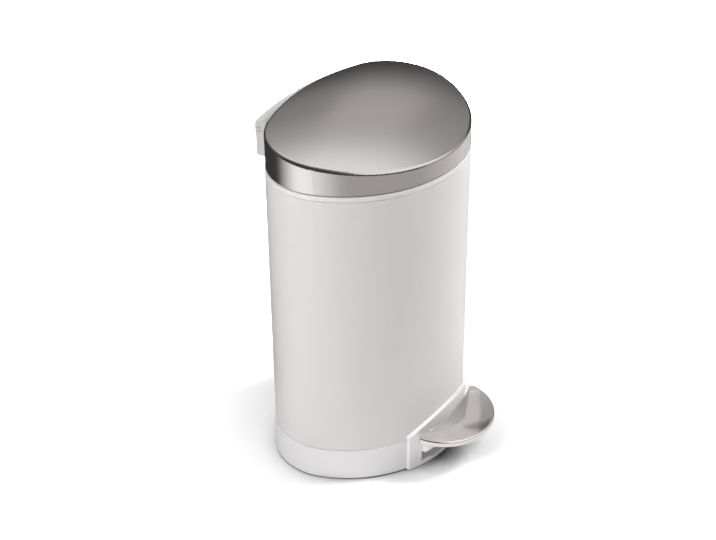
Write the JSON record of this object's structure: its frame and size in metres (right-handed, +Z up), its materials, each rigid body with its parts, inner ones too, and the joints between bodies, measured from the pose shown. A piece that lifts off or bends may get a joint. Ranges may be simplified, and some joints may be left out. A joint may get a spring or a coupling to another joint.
{
  "type": "pedal waste bin",
  "caption": "Semi-round waste bin with a painted wall, a domed hinged lid that slopes to the front, a foot pedal that lifts the lid through a rod, and a lift-out bucket.",
  "frame": {"origin": "on the floor, under the middle of the whole bin's box", "axes": "+Z up, -Y toward the front with the pedal, +Y toward the hinge, +X to the right of someone facing along +Y"},
  "size_m": [0.201, 0.2045, 0.3165],
  "materials": {
    "white_paint": "satin white powder coat",
    "white_plastic": "satin moulded",
    "satin_stainless": "satin stainless",
    "zinc_steel": "bright zinc plate",
    "grey_plastic": "moulded",
    "black_rubber": "matt",
    "bucket_plastic": "moulded"
  },
  "bodies": {
    "bin": {"body_shell": "white_paint", "base_moulding": "white_plastic", "pedal_surround": "white_plastic", "rubber_feet": "black_rubber", "top_collar": "white_plastic", "lid_bumpers": "black_rubber", "hinge_housing": "white_plastic", "hinge_end_caps": "white_plastic", "hinge_pin": "zinc_steel", "housing_screws": "zinc_steel", "rod_channel": "grey_plastic", "axle_clamps": "grey_plastic", "clamp_screws": "zinc_steel", "damper_cylinder": "grey_plastic", "damper_gland": "grey_plastic"},
    "lid": {"lid_shell": "satin_stainless", "lid_liner": "grey_plastic", "lid_hinge_bracket": "white_plastic", "bracket_screws": "zinc_steel"},
    "pedal": {"pedal_tread": "satin_stainless", "pedal_carrier": "white_plastic", "pedal_lever": "zinc_steel", "pedal_axle": "zinc_steel", "pedal_screws": "zinc_steel"},
    "push_rod": {"push_rod": "zinc_steel", "rod_clips": "zinc_steel"},
    "damper_piston": {"damper_rod": "zinc_steel", "damper_piston": "grey_plastic", "piston_ring": "black_rubber", "damper_clip": "zinc_steel"},
    "bucket": {"inner_bucket": "bucket_plastic"}
  },
  "joints": [
    {"name": "lid_open", "type": "hinge", "parent": "bin", "child": "lid", "pos_m": [0, 0.09175, 0.294], "axis": [-1, 0, 0], "range_deg": [0, 75]},
    {"name": "pedal_press", "type": "hinge", "parent": "bin", "child": "pedal", "pos_m": [0, -0.01725, 0.017], "axis": [1, 0, 0], "range_deg": [0, 12.9]},
    {"name": "rod_lift", "type": "slide", "parent": "bin", "child": "push_rod", "axis": [0, 0, 1], "range_m": [0, 0.02149]},
    {"name": "damper_stroke", "type": "slide", "parent": "bin", "child": "damper_piston", "axis": [0, 0, 1], "range_m": [0, 0.02149]},
    {"name": "bucket_lift", "type": "slide", "parent": "bin", "child": "bucket", "axis": [0, 0, 1], "range_m": [0, 0.006]}
  ],
  "couplings": [
    {"joint": "pedal_press", "follows": "lid_open", "ratio": 0.17204},
    {"joint": "rod_lift", "follows": "lid_open", "m_per_rad": 0.016413},
    {"joint": "damper_stroke", "follows": "lid_open", "m_per_rad": 0.016413}
  ]
}
